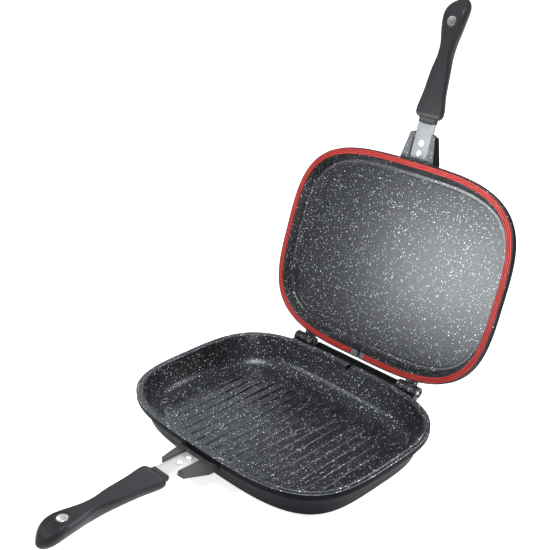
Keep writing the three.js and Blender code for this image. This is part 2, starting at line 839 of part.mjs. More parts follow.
// Everything that hangs on one pan's fork, either as it is or reflected for the lid
function handleSet(side, turn) {
  const make = (piece, geometry, finish) => named(`${side}_${piece}`, turn(fromTang(geometry)), finish);
  return [
    make('tang', tang(), 'plate'),
    make('tang_rivet_inner', rivet(rivetPlaces[0]), 'rivet'),
    make('tang_rivet_outer', rivet(rivetPlaces[1]), 'rivet'),
    make('handle', handle(), 'handle'),
    make('magnet_cup', magnetCup(), 'cup'),
    make('magnet', magnet(), 'magnet'),
    make('handle_screw', handleScrew(), 'screw'),
  ];
}

// Lower half, standing on its base
const lower = new THREE.Group();
lower.position.z = lowerHeight;
lower.add(
  named('lower_pan', lowerPan(), 'coating'),
  named('drip_tray', dripTray(), 'tray'),
  named('hinge_pin_right', hingePin(), 'pin'),
  named('hinge_pin_left', hingePin().rotateZ(Math.PI).translate(0, 2 * hingeY, 0), 'pin'),
  ...handleSet('lower', (geometry) => geometry),
);

// Lid half, drawn shut in its own group and swung open about the hinge
const shutLid = new THREE.Group();
shutLid.position.set(0, -hingeY, lidAxisRise);
shutLid.add(
  named('lid_pan', reflected(lidPan()), 'coating'),
  named('lid_gasket', reflected(gasket()), 'silicone'),
  ...handleSet('lid', reflected),
);
const lid = new THREE.Group();
lid.position.set(0, hingeY, lowerHeight - hingeDrop);
lid.rotation.x = -lidAngle;
lid.add(shutLid);

const flipPan = new THREE.Group();
flipPan.add(lower, lid);
export default flipPan;
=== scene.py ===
import math

import bmesh
import bpy
from mathutils import Matrix, Vector


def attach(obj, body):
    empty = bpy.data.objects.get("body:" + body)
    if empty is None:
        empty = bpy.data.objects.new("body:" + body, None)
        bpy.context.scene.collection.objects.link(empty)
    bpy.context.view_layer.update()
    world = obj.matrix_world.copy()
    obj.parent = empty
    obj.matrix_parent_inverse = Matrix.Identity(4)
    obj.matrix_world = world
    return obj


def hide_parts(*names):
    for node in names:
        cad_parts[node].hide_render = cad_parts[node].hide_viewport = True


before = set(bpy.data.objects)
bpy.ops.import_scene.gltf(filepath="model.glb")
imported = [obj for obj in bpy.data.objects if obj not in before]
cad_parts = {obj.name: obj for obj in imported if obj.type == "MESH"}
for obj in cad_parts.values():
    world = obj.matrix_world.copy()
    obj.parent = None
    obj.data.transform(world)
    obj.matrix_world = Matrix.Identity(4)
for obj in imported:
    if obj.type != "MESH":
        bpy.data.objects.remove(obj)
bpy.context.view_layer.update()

# Camera: it stands to the front right of the open pan, a metre away and a little above it,
# with a lens of moderate length, tilted by less than a degree.
camera_place = Vector((0.6350, -0.6432, 0.6149))
camera_aim = Vector((-0.0013, -0.0088, 0.1990))
camera_roll = math.radians(0.86)
look = (camera_aim - camera_place).normalized()
level = look.cross(Vector((0, 0, 1))).normalized()
steep = level.cross(look)
side = level * math.cos(camera_roll) + steep * math.sin(camera_roll)
above = steep * math.cos(camera_roll) - level * math.sin(camera_roll)
bpy.ops.object.camera_add(location=camera_place)
camera = bpy.context.object
camera.data.lens = 61.47
camera.data.sensor_width = 36
camera.matrix_world = Matrix.Translation(camera_place) @ Matrix((side, above, -look)).transposed().to_4x4()
bpy.context.scene.camera = camera

# Studio: a pale paper floor in a bright white room, under a broad soft box overhead and five
# small boxes round the pan, whose grids keep each one's light on a part of it.
floor_size = 60
room_tone = (0.87, 0.93, 1.0, 1)
room_strength = 0.62
box_tone = (0.92, 0.96, 1.0)
scene = bpy.context.scene
scene.view_settings.view_transform = "Standard"
studio = bpy.data.worlds.new("studio")
scene.world = studio
studio.use_nodes = True
room = studio.node_tree.nodes["Background"]
room.inputs["Color"].default_value = room_tone
room.inputs["Strength"].default_value = room_strength


def soft_box(name, place, aim, width, depth, power, spread=180):
    """Rectangular area light at a place, facing a point, with a grid that narrows its beam."""
    turn = (Vector(aim) - Vector(place)).to_track_quat("-Z", "Y").to_euler()
    bpy.ops.object.light_add(type="AREA", location=place, rotation=turn)
    lamp = bpy.context.object
    lamp.name = name
    lamp.data.shape = "RECTANGLE"
    lamp.data.size = width
    lamp.data.size_y = depth
    lamp.data.energy = power
    lamp.data.spread = math.radians(spread)
    lamp.data.color = box_tone
    lamp.visible_camera = False


soft_box("box_front_left", (-0.83, -0.945, 0.92), (-0.08, -0.10, -0.04), 0.18, 0.18, 0.17, 24)
soft_box("box_back_right", (0.94, 0.83, 0.85), (0.0, -0.03, 0.0), 0.3, 0.3, 0.62, 26)
soft_box("box_overhead", (0.10, -0.20, 1.35), (0, 0, 0.02), 0.5, 0.5, 22)
soft_box("box_by_the_lid", (-0.30, -0.55, 0.26), (0.14, 0.15, 0.31), 0.3, 0.20, 0.53, 34)
soft_box("box_by_the_handle", (-0.80, 0.50, 0.66), (-0.04, -0.38, 0.03), 0.35, 0.35, 0.06, 20)
soft_box("box_front_right", (0.80, -0.70, 0.20), (-0.15, 0.17, 0.20), 0.25, 0.25, 0.12, 20)


def wire(material, start, end):
    """Links two node sockets."""
    material.node_tree.links.new(start, end)


def node(material, kind, **settings):
    """Adds a node to a material, with its settings."""
    added = material.node_tree.nodes.new(kind)
    for key, value in settings.items():
        if key in added.inputs:
            added.inputs[key].default_value = value
        else:
            setattr(added, key, value)
    return added


def shader_input(material, name):
    """Socket of a material's main shader."""
    return material.node_tree.nodes["Principled BSDF"].inputs[name]


def object_place(material):
    """Coordinates of a point of the piece in its own mesh."""
    return material.node_tree.nodes["Texture Coordinate"].outputs["Object"]


def finish(name, roughness, metallic=0.0, specular=0.5):
    """Material whose even values sit on its main shader's own sockets."""
    material = bpy.data.materials.new(name)
    material.use_nodes = True
    shader_input(material, "Roughness").default_value = roughness
    shader_input(material, "Metallic").default_value = metallic
    shader_input(material, "Specular IOR Level").default_value = specular
    node(material, "ShaderNodeTexCoord")
    return material


def blend_colors(material, mask, start, end):
    """Mixes two colours, or a colour socket and a colour, by a mask."""
    mix = node(material, "ShaderNodeMix", data_type="RGBA")
    first, second, mixed = mix.inputs[6], mix.inputs[7], mix.outputs[2]
    wire(material, mask, mix.inputs["Factor"])
    if isinstance(start, tuple):
        first.default_value = start
    else:
        wire(material, start, first)
    second.default_value = end
    return mixed


def clouds(material, place, scale, detail, dark, light):
    """Colour that drifts between two tones."""
    cloud = node(material, "ShaderNodeTexNoise", Scale=scale, Detail=detail)
    wire(material, place, cloud.inputs["Vector"])
    return blend_colors(material, cloud.outputs["Fac"], dark, light)


def cloudy(name, roughness, scale, detail, dark, light, metallic=0.0, specular=0.5):
    """Material whose colour drifts between two tones."""
    material = finish(name, roughness, metallic, specular)
    color = clouds(material, object_place(material), scale, detail, dark, light)
    wire(material, color, shader_input(material, "Base Color"))
    return material


bpy.ops.mesh.primitive_plane_add(size=floor_size)
floor = bpy.context.object
floor.name = "studio_floor"
paper = cloudy("floor_paper", 0.9, 40, 2, (0.93, 0.93, 0.93, 1), (0.96, 0.96, 0.96, 1), specular=0.1)
shader_input(paper, "Emission Color").default_value = (1, 1, 1, 1)
shader_input(paper, "Emission Strength").default_value = 0.75
floor.data.materials.append(paper)

# Lower pan: a deep rounded rectangle cast in aluminium, with a flange band round the rim, a
# thin groove in the rim and a wide fillet round the floor. Coated all over in dark grey.
pan_width = 0.325
pan_depth = 0.248
outline_power = 3.43
outline_sides = 176
lower_height = 0.0385
lower_floor = 0.004
flange_height = 0.0075
edge_round = 0.0008
edge_steps = 4
rim_width = 0.0075
rim_groove_inset = 0.0024
rim_groove_width = 0.0028
rim_groove_depth = 0.0008
rim_groove_flare = 0.0006
wall_slope = 25
floor_fillet = 0.022
floor_steps = 14
flange_step = 0.0055
flange_break = 0.0006
base_inset = 0.0145
base_fillet = 0.006
base_slope = 20
base_steps = 8
base_ring_width = 0.006
base_hollow_slope = 0.0006
base_hollow_depth = 0.0005


def outline_point(turn, inset):
    """Point of the pans' shared outline at an angle, moved inwards along its normal."""
    c, s = math.cos(turn), math.sin(turn)
    half_x, half_y, power = pan_width / 2, pan_depth / 2, 2 / outline_power
    x = math.copysign(half_x * abs(c) ** power, c)
    y = math.copysign(half_y * abs(s) ** power, s)
    normal = Vector((math.copysign(abs(c) ** (2 - power), c) / half_x,
                     math.copysign(abs(s) ** (2 - power), s) / half_y)).normalized()
    return x - inset * normal.x, y - inset * normal.y


def name_primitive(name):
    """Names the primitive that was added last, with its place and turn in its mesh."""
    bpy.ops.object.transform_apply(location=True, rotation=True, scale=True)
    piece = bpy.context.object
    piece.name = name
    return piece


def outline_prism(name, low, high, inset):
    """Block whose plan follows the outline, between two heights."""
    bpy.ops.object.select_all(action="DESELECT")
    bpy.ops.mesh.primitive_cylinder_add(vertices=outline_sides, radius=1, depth=high - low,
                                        location=(0, 0, (low + high) / 2))
    piece = name_primitive(name)
    for corner in piece.data.vertices:
        corner.co.x, corner.co.y = outline_point(math.atan2(corner.co.y, corner.co.x), inset)
    return piece


def take(piece):
    """Selects one piece alone."""
    bpy.ops.object.select_all(action="DESELECT")
    piece.select_set(True)
    bpy.context.view_layer.objects.active = piece


def facing_up(place, normal):
    """Test for the faces that look up."""
    return normal.z > 0.9


def facing_down(place, normal):
    """Test for the faces that look down."""
    return normal.z < -0.9


def pick_faces(piece, wanted):
    """Opens a piece in edit mode with only the faces selected that pass a test."""
    take(piece)
    bpy.ops.object.mode_set(mode="EDIT")
    bpy.ops.mesh.select_mode(type="FACE")
    bpy.ops.mesh.select_all(action="DESELECT")
    net = bmesh.from_edit_mesh(piece.data)
    for face in net.faces:
        face.select_set(wanted(face.calc_center_median(), face.normal))
    bmesh.update_edit_mesh(piece.data)


def put_down():
    """Leaves edit mode."""
    bpy.ops.object.mode_set(mode="OBJECT")


def follow(profile, facing):
    """Insets the selected face along a profile of inset and height."""
    for (inset, height), (next_inset, next_height) in zip(profile, profile[1:]):
        bpy.ops.mesh.inset(thickness=next_inset - inset, depth=facing * (next_height - height),
                           use_even_offset=True)


def arc(inset, height, radius, start, end, steps):
    """Points of an arc round a centre, in inset and height."""
    turns = [math.radians(start + (end - start) * step / steps) for step in range(steps + 1)]
    return [(inset + radius * math.cos(turn), height + radius * math.sin(turn)) for turn in turns]


def smooth(piece, angle):
    """Shades a piece smooth, apart from its sharp edges."""
    take(piece)
    bpy.ops.object.shade_smooth_by_angle(angle=math.radians(angle))


floor_level = lower_floor - lower_height
wall_draft = math.radians(wall_slope)
fillet_top = lower_height - lower_floor - floor_fillet * (1 - math.sin(wall_draft))
floor_inset = rim_width + fillet_top * math.tan(wall_draft) + floor_fillet * math.cos(wall_draft)
groove_side = [(0, 0), (rim_groove_flare / 2, -rim_groove_depth / 4), (rim_groove_flare, -rim_groove_depth)]
rim_groove_end = rim_groove_inset + rim_groove_width
base_middle = base_inset + base_fillet
base_ring_end = base_middle + base_ring_width
lower_pan = outline_prism("lower_pan_casting", edge_round - flange_height, -edge_round, 0)
pick_faces(lower_pan, facing_up)
follow([
    *arc(edge_round, -edge_round, edge_round, 180, 90, edge_steps),
    *[(rim_groove_inset + reach, height) for reach, height in groove_side],
    *[(rim_groove_end - reach, height) for reach, height in reversed(groove_side)],
    *arc(rim_width - edge_round, -edge_round, edge_round, 90, 0, edge_steps),
    *arc(floor_inset, floor_level + floor_fillet, floor_fillet, 180 + wall_slope, 270, floor_steps),
], 1)
put_down()
pick_faces(lower_pan, facing_down)
follow([
    *arc(edge_round, edge_round - flange_height, edge_round, 180, 270, edge_steps),
    (flange_step - flange_break, -flange_height), (flange_step, -flange_height - flange_break),
    *arc(base_middle, base_fillet - lower_height, base_fillet, 180 + base_slope, 270, base_steps),
    (base_ring_end, -lower_height), (base_ring_end + base_hollow_slope, base_hollow_depth - lower_height),
], -1)
put_down()

# Notch through the back of the lower rim, that fat is poured out through: cast in with the
# pan, with a round bottom.
notch_width = 0.006
notch_depth = 0.006
notch_offset = 0.001
notch_reach = 0.024
overrun = 0.002


def rod(name, radius, start, end, sides=32):
    """Cylinder between two points."""
    start, end = Vector(start), Vector(end)
    turn = (end - start).to_track_quat("Z", "Y").to_euler()
    bpy.ops.object.select_all(action="DESELECT")
    bpy.ops.mesh.primitive_cylinder_add(vertices=sides, radius=radius, depth=(end - start).length,
                                        location=(start + end) / 2, rotation=turn)
    return name_primitive(name)


def block(name, low, high):
    """Rectangular block between two corners."""
    low, high = Vector(low), Vector(high)
    bpy.ops.object.select_all(action="DESELECT")
    bpy.ops.mesh.primitive_cube_add(size=1, location=(low + high) / 2, scale=high - low)
    return name_primitive(name)


def carve(piece, tool, operation="DIFFERENCE"):
    """Cuts or joins a second block into a piece, and removes that block."""
    take(piece)
    step = piece.modifiers.new("carve", "BOOLEAN")
    step.operation = operation
    step.solver = "EXACT"
    step.object = tool
    bpy.ops.object.modifier_apply(modifier=step.name)
    bpy.data.objects.remove(tool)


def soften(piece, width, segments=2, angle=35):
    """Rounds a piece's sharp edges."""
    take(piece)
    step = piece.modifiers.new("soften", "BEVEL")
    step.width = width
    step.segments = segments
    step.limit_method = "ANGLE"
    step.angle_limit = math.radians(angle)
    step.harden_normals = False
    bpy.ops.object.modifier_apply(modifier=step.name)


notch_radius = notch_width / 2
notch_level = notch_radius - notch_depth
notch_front = pan_depth / 2 - notch_reach
notch_back = pan_depth / 2 + overrun
notch = rod("notch", notch_radius, (notch_offset, notch_front, notch_level),
            (notch_offset, notch_back, notch_level))
carve(notch, block("notch_mouth", (notch_offset - notch_radius, notch_front, notch_level),
                   (notch_offset + notch_radius, notch_back, overrun)), "UNION")
carve(lower_pan, notch)
smooth(lower_pan, 40)

# Ribs on the lower floor: low ridges cast in with the pan, with sloping sides and ends,
# that mark the food and let the fat run between them.
rib_count = 18
rib_width = 0.0034
rib_top_width = 0.0015
rib_height = 0.0015
rib_sink = 0.0005
rib_round = 0.0005
rib_margin_back = 0.0145
rib_margin_front = 0.0025
rib_field_power = 3


def join(name, pieces):
    """Joins pieces to one mesh."""
    take(pieces[0])
    for piece in pieces:
        piece.select_set(True)
    bpy.ops.object.join()
    pieces[0].name = name
    return pieces[0]


field_half_width = pan_width / 2 - floor_inset
field_half_depth = pan_depth / 2 - floor_inset - (rib_margin_back + rib_margin_front) / 2
rib_pitch = (pan_width - 2 * floor_inset) / (rib_count + 1)
rib_middle = (rib_margin_front - rib_margin_back) / 2
rib_top_share = 1 - (rib_width - rib_top_width) / (2 * rib_width)
first_rib = block("floor_rib", (-rib_width / 2, -rib_width, floor_level - rib_sink),
                  (rib_width / 2, rib_width, floor_level + rib_height))
pick_faces(first_rib, facing_up)
bpy.ops.transform.resize(value=(rib_top_width / rib_width, rib_top_share, 1),
                         center_override=(0, 0, floor_level + rib_height))
put_down()
soften(first_rib, rib_round, 3, 20)
ribs = []
for place in range(rib_count):
    x = (place - (rib_count - 1) / 2) * rib_pitch
    bow = 1 - abs(x / field_half_width) ** rib_field_power
    half = field_half_depth * bow ** (1 / rib_field_power)
    rib = first_rib.copy()
    rib.data = first_rib.data.copy()
    bpy.context.collection.objects.link(rib)
    for corner in rib.data.vertices:
        stretch = math.copysign(half - rib_width, corner.co.y)
        corner.co = (corner.co.x + x, corner.co.y + stretch + rib_middle, corner.co.z)
    ribs.append(rib)
bpy.data.objects.remove(first_rib)
floor_ribs = join("lower_floor_ribs", ribs)
smooth(floor_ribs, 25)

# Brackets that hold the handles: a fork cast on the front of each pan, with two prongs
# beside the steel plate and a shelf under it, tapering to the front.
plate_reach = 0.015
plate_drop = 0.0105
plate_thickness = 0.003
plate_width = 0.024
plate_inner_end = 0.012
plate_tilt = math.radians(2.3)
seat_gap = 0.0003
prong_rise = 0.0025
fork_root_width = 0.048
fork_tip_width = 0.036
fork_reach = 0.019
fork_root = 0.014
fork_bury_top = 0.010
fork_bury_foot = 0.014
fork_root_depth = 0.0125
fork_tip_depth = 0.0065
fork_tip_slant = 0.0025
casting_round = 0.0007
near = 0.001
plate_middle = -pan_depth / 2 - plate_reach
from_plate = Matrix.Translation((0, plate_middle, -plate_drop)) @ Matrix.Rotation(-plate_tilt, 4, "X")


def extrude(x, y, z):
    """Draws the selected faces out by a distance."""
    bpy.ops.mesh.extrude_region_move(TRANSFORM_OT_translate={"value": (x, y, z)})


def fork(name):
    """Forked bracket, in the plate's own frame."""
    piece = block(name, (-fork_tip_width / 2, -fork_reach, -fork_tip_depth),
                  (fork_tip_width / 2, fork_root, prong_rise))
    for corner in piece.data.vertices:
        if corner.co.y > 0:
            corner.co.x = math.copysign(fork_root_width / 2, corner.co.x)
            if corner.co.z < 0:
                corner.co.z = -fork_root_depth
    pick_faces(piece, lambda place, normal: normal.y > 0.9)
    extrude(0, fork_bury_top, 0)
    put_down()
    for corner in piece.data.vertices:
        if corner.co.y > fork_root + near and corner.co.z < 0:
            corner.co.y = fork_root + fork_bury_foot
    half = plate_width / 2 + seat_gap
    carve(piece, block("seat", (-half, -fork_reach - overrun, -plate_thickness - seat_gap),
                       (half, plate_inner_end + seat_gap, prong_rise + overrun)))
    for corner in piece.data.vertices:
        if abs(corner.co.x) > fork_tip_width / 2 - near and corner.co.y < near - fork_reach:
            corner.co.y += fork_tip_slant
    soften(piece, casting_round, 3)
    smooth(piece, 15)
    return piece


lower_fork = fork("lower_fork")

# Hinges: on each side the lower pan carries two round-topped cheeks, and the lid an eye that
# turns between them on a steel pin. A heel on the eye meets a block below it to stop the lid.
hinge_reach = 0.0059
hinge_drop = 0.00055
knuckle_radius = 0.007
knuckle_sides = 48
cheek_start = 0.068
cheek_inner_width = 0.0057
eye_width = 0.014
cheek_outer_width = 0.0087
web_top_drop = 0.0016
web_depth = 0.020
web_top_inset = 0.004
web_foot_inset = 0.013
web_shoulder_reach = 0.0055
web_shoulder_drop = 0.0043
lid_angle = math.radians(108.7)
lid_gap = 0.0012
heel_reach = 0.0105
heel_half = 0.003
stop_length = 0.005
stop_start = 0.0078
socket_radius = 0.0046
socket_depth = 0.0016
pin_radius = 0.0025
pin_clearance = 0.0001
tray_half = 0.0664
tray_gap = 0.0012
tray_depth = 0.0122
tray_height = 0.0084
tray_top = -0.0008
ledge_reach = 0.004
ledge_thickness = 0.002
fine_round = 0.0004
faint_round = 0.0003
hinge_y = pan_depth / 2 + hinge_reach
eye_start = cheek_start + cheek_inner_width + seat_gap
cheek_outer_start = eye_start + eye_width + seat_gap
hinge_end = cheek_outer_start + cheek_outer_width
axis_rise = hinge_drop + lid_gap
tray_front = pan_depth / 2 + tray_gap
tray_back = tray_front + tray_depth
tray_bottom = tray_top - tray_height
ledge_top = tray_bottom - seat_gap
ledge_bottom = ledge_top - ledge_thickness


def side_prism(name, outline, start, end):
    """Prism whose side view, in Y and Z, is a polygon."""
    bpy.ops.object.select_all(action="DESELECT")
    bpy.ops.mesh.primitive_circle_add(vertices=len(outline), radius=1, fill_type="NGON")
    piece = bpy.context.object
    piece.name = name
    for corner, (y, z) in zip(piece.data.vertices, outline):
        corner.co = (start, y, z)
    pick_faces(piece, lambda place, normal: True)
    extrude(end - start, 0, 0)
    bpy.ops.mesh.select_all(action="SELECT")
    bpy.ops.mesh.normals_make_consistent(inside=False)
    put_down()
    return piece


def back_y(x):
    """Place of the pans' outline at the back, at a distance from the middle."""
    return pan_depth / 2 * (1 - (abs(x) / (pan_width / 2)) ** outline_power) ** (1 / outline_power)


def on_axis(x):
    """Point of the hinge line, in the lower pan's frame."""
    return x, hinge_y, -hinge_drop


def cheek(name, start, end, foot=()):
    """Round-topped cheek on a web that runs into the pan's wall."""
    piece = rod(name, knuckle_radius, on_axis(start), on_axis(end), knuckle_sides)
    root = back_y(max(abs(start), abs(end)))
    web = side_prism("web", [
        (root - web_top_inset, -web_top_drop), (root - web_foot_inset, -web_depth), *foot,
        (hinge_y, -hinge_drop - knuckle_radius),
        (hinge_y + web_shoulder_reach, -hinge_drop - web_shoulder_drop), (hinge_y, -web_top_drop),
    ], start, end)
    carve(piece, web, "UNION")
    soften(piece, edge_round, 3)
    return piece


def stop_block(name, start, end):
    """Block under the eye whose face meets the heel when the lid is open."""
    out = Vector((math.cos(lid_angle), -math.sin(lid_angle)))
    forward = Vector((-math.sin(lid_angle), -math.cos(lid_angle)))
    centre = Vector((hinge_y, -hinge_drop)) + forward * (heel_half + seat_gap)
    top = centre + out * stop_start
    bottom = centre + out * (stop_start + stop_length)
    root = back_y(max(abs(start), abs(end)))
    piece = side_prism(name, [(root - web_top_inset, top.y), (root - web_foot_inset, -web_depth),
                              tuple(bottom), tuple(top)], start, end)
    soften(piece, fine_round, 2)
    return piece


def tray_ledge(start, end):
    """Shelf beside the inner cheek that the drip tray slides on."""
    piece = block("tray_ledge", (start, tray_front, ledge_bottom), (end, tray_back, ledge_top))
    soften(piece, faint_round)
    return piece


lower_hinges = []
ledge_foot = ((tray_back, ledge_bottom), (tray_back, ledge_top))
for hand in (-1, 1):
    inner = sorted((hand * cheek_start, hand * (cheek_start + cheek_inner_width)))
    outer = sorted((hand * cheek_outer_start, hand * hinge_end))
    between = sorted((hand * (eye_start - 2 * seat_gap), hand * (cheek_outer_start + seat_gap)))
    shelf = sorted((hand * (tray_half - ledge_reach), hand * (cheek_start + seat_gap)))
    lower_hinges += [cheek("cheek_inner", *inner, ledge_foot), cheek("cheek_outer", *outer),
                     stop_block("stop", *between), tray_ledge(*shelf)]
lower_clevises = join("lower_clevises", lower_hinges)
for hand in (-1, 1):
    bore_ends = on_axis(hand * (cheek_start - overrun)), on_axis(hand * (hinge_end + overrun))
    socket_ends = on_axis(hand * (hinge_end - socket_depth)), on_axis(hand * (hinge_end + overrun))
    carve(lower_clevises, rod("bore", pin_radius + pin_clearance, *bore_ends))
    carve(lower_clevises, rod("socket", socket_radius, *socket_ends))
smooth(lower_clevises, 15)

# Coating of both pans: charcoal non-stick enamel, sprayed over with fine grey and white
# stone-like dots of many sizes, with a soft gloss and a slight orange peel.
coat_base = (0.002, 0.0022, 0.0027, 1)
coat_shade = (0.0045, 0.0048, 0.0058, 1)
grain_tone = (0.018, 0.019, 0.022, 1)
speck_tone = (0.33, 0.33, 0.34, 1)
fleck_tone = (0.98, 0.98, 1.0, 1)
least_dot_share = 0.35

# Each layer of dots: size of a cell, share of the cells with a dot, radius of the largest
# dot, softness of its edge, and its tone
dot_layers = ((0.0007, 0.7, 0.00030, 0.12, grain_tone), (0.0013, 0.45, 0.00036, 0.05, speck_tone),
              (0.0018, 0.50, 0.00045, 0.02, fleck_tone), (0.0040, 0.55, 0.00066, 0.02, fleck_tone))


def dots(material, cell, share, size, softness):
    """Mask of round dots: one cell in so many holds a dot, of a size that varies."""
    cells = node(material, "ShaderNodeTexVoronoi", Scale=1 / cell)
    wire(material, object_place(material), cells.inputs["Vector"])
    pick = node(material, "ShaderNodeSeparateColor")
    wire(material, cells.outputs["Color"], pick.inputs["Color"])
    reach = node(material, "ShaderNodeMapRange")
    reach.inputs["From Min"].default_value = 1 - share
    reach.inputs["From Max"].default_value = 1
    reach.inputs["To Min"].default_value = size * least_dot_share / cell
    reach.inputs["To Max"].default_value = size / cell
    wire(material, pick.outputs["Red"], reach.inputs["Value"])
    chosen = node(material, "ShaderNodeMath", operation="GREATER_THAN")
    chosen.inputs[1].default_value = 1 - share
    wire(material, pick.outputs["Red"], chosen.inputs[0])
    inside = node(material, "ShaderNodeMath", operation="SUBTRACT")
    wire(material, reach.outputs["Result"], inside.inputs[0])
    wire(material, cells.outputs["Distance"], inside.inputs[1])
    edge = node(material, "ShaderNodeMapRange")
    edge.inputs["From Min"].default_value = 0
    edge.inputs["From Max"].default_value = softness
    wire(material, inside.outputs["Value"], edge.inputs["Value"])
    mask = node(material, "ShaderNodeMath", operation="MULTIPLY")
    wire(material, edge.outputs["Result"], mask.inputs[0])
    wire(material, chosen.outputs["Value"], mask.inputs[1])
    return mask.outputs["Value"]


def sprinkle(material, layers):
    """Lays layers of dots over a material's colour."""
    color = shader_input(material, "Base Color")
    for cell, share, size, softness, tone in layers:
        mask = dots(material, cell, share, size, softness)
        wire(material, blend_colors(material, mask, color.links[0].from_socket, tone), color)


def roughen(material, scale, detail, strength, distance):
    """Fine bumps all over a surface."""
    grain = node(material, "ShaderNodeTexNoise", Scale=scale, Detail=detail)
    wire(material, object_place(material), grain.inputs["Vector"])
    bump = node(material, "ShaderNodeBump", Strength=strength, Distance=distance)
    wire(material, grain.outputs["Fac"], bump.inputs["Height"])
    wire(material, bump.outputs["Normal"], shader_input(material, "Normal"))


def speckled(name, roughness, base, shade, layers=dot_layers):
    """Charcoal coating with grains, specks and flecks."""
    material = cloudy(name, roughness, 120, 3, base, shade, specular=0.38)
    sprinkle(material, layers)
    roughen(material, 700, 3, 0.12, 0.0004)
    return material


def paint(piece, material):
    """Gives a piece its one material."""
    piece.data.materials.clear()
    piece.data.materials.append(material)
    for face in piece.data.polygons:
        face.material_index = 0


def repaint(piece, material, wanted):
    """Gives one more material to the faces of a piece that pass a test."""
    piece.data.materials.append(material)
    for face in piece.data.polygons:
        if wanted(face):
            face.material_index = len(piece.data.materials) - 1


coat = speckled("speckled_coating", 0.33, coat_base, coat_shade)

# Outside of the pans: the same charcoal enamel without the dots, satin and plain. On the sloping edges of the
# lower rim it is thin and grey, with light dots, and its lighter tone there is also a painted highlight along
# the edges.
outside_slope = 0.3
outside_lean = -0.01
thin_coat_and_highlight_depth = 0.0011
thin_coat_and_highlight_slopes = (0.2, 0.95)
least_face_area = 1e-8
edge_dots = ((0.0022, 0.5, 0.0009, 0.05, fleck_tone),)
skin = cloudy("plain_coating", 0.45, 60, 4, (0.003, 0.0033, 0.0042, 1), (0.0055, 0.006, 0.0073, 1),
              specular=0.025)
roughen(skin, 900, 3, 0.1, 0.0003)
edge_tone = cloudy("thin_coating_and_painted_highlight_on_edges", 0.4, 500, 3, (0.006, 0.006, 0.007, 1), (0.10, 0.10, 0.106, 1))
sprinkle(edge_tone, edge_dots)


def on_the_outside(face):
    """Whether a face of a casting looks neither up nor towards its middle."""
    lean = face.center.x * face.normal.x + face.center.y * face.normal.y
    return face.normal.z <= outside_slope and lean >= outside_lean


def on_a_rim_edge(face):
    """Whether a face is a sloping one at the top of the rim."""
    sloping = thin_coat_and_highlight_slopes[0] < face.normal.z < thin_coat_and_highlight_slopes[1]
    return sloping and face.center.z > -thin_coat_and_highlight_depth and face.area > least_face_area


def two_coats(piece):
    """Paints a casting with dots inside, and plain outside."""
    paint(piece, coat)
    repaint(piece, skin, on_the_outside)


two_coats(lower_pan)
# The lighter grey on the rim's sloping edges is thin coating and a painted highlight.
repaint(lower_pan, edge_tone, on_a_rim_edge)
paint(floor_ribs, coat)
paint(lower_fork, speckled("bracket_coating", 0.45, (0.022, 0.020, 0.019, 1), (0.034, 0.031, 0.030, 1), ()))
paint(lower_clevises, coat)


def settle_lower(piece, in_plate_frame=False, body="lower"):
    """Puts a piece of the lower half where it belongs, standing on its base."""
    if in_plate_frame:
        piece.data.transform(from_plate)
    piece.data.transform(Matrix.Translation((0, 0, lower_height)))
    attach(piece, body)


for piece, tilted in ((lower_pan, False), (floor_ribs, False), (lower_fork, True), (lower_clevises, False)):
    settle_lower(piece, tilted)
    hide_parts("lower_pan")

# Lid pan: a shallow casting with the same outline, whose flat floor lies a small step below
# a ledge. Its rim holds the gasket's groove, and eyes and a fork are cast on. It is modelled
# rim up, then turned over and swung open.
lid_height = 0.0185
lid_floor = 0.004
lid_base_inset = 0.0135
lid_base_fillet = 0.005
lid_base_slope = 35
lid_flange_step = 0.005
lid_lip = 0.001
lip_break = 0.0003
ledge_step = 0.0013
ledge_width = 0.0024
ledge_drop = 0.0002
ledge_edge = 0.0006
ledge_foot_break = 0.0001
ledge_inset = 0.0165
lid_fillet = 0.004
lid_slope = 20
gasket_inset = 0.0015
gasket_width = 0.0065
gasket_height = 0.0036
gasket_proud = 0.0009
groove_inset = gasket_inset - seat_gap
groove_width = gasket_width + 2 * seat_gap
groove_depth = gasket_height - gasket_proud + seat_gap
groove_end = groove_inset + groove_width
lid_rim_width = groove_end + lid_lip
lid_level = lid_floor - lid_height
ledge_level = lid_level + ledge_step
ledge_end = ledge_inset + ledge_width
ledge_lip_level = ledge_level + ledge_drop / 2
swing = (Matrix.Translation((0, hinge_y, lower_height - hinge_drop)) @ Matrix.Rotation(-lid_angle, 4, "X")
         @ Matrix.Translation((0, -hinge_y, axis_rise)) @ Matrix.Diagonal((1, 1, -1, 1)))
lid_pan = outline_prism("lid_pan_casting", edge_round - flange_height, -edge_round, 0)
pick_faces(lid_pan, facing_up)
follow([
    *arc(edge_round, -edge_round, edge_round, 180, 90, edge_steps),
    (groove_inset, 0), (groove_inset, -groove_depth), (groove_end, -groove_depth), (groove_end, -lip_break),
    (groove_end + lip_break, 0), (lid_rim_width - lip_break, 0), (lid_rim_width, -lip_break),
    *arc(ledge_inset, ledge_level + ledge_drop + lid_fillet, lid_fillet, 180 + lid_slope, 270, base_steps),
    (ledge_end - fine_round, ledge_lip_level),
    *arc(ledge_end - fine_round, ledge_lip_level - fine_round, fine_round, 80, 20, 3),
    (ledge_end + ledge_edge - ledge_foot_break, lid_level + 2 * ledge_foot_break),
    (ledge_end + ledge_edge + ledge_foot_break, lid_level),
], 1)
put_down()
pick_faces(lid_pan, facing_down)
follow([
    *arc(edge_round, edge_round - flange_height, edge_round, 180, 270, edge_steps),
    (lid_flange_step - flange_break, -flange_height), (lid_flange_step, -flange_height - flange_break),
    *arc(lid_base_inset + lid_base_fillet, lid_base_fillet - lid_height, lid_base_fillet,
         180 + lid_base_slope, 270, base_steps),
], -1)
put_down()

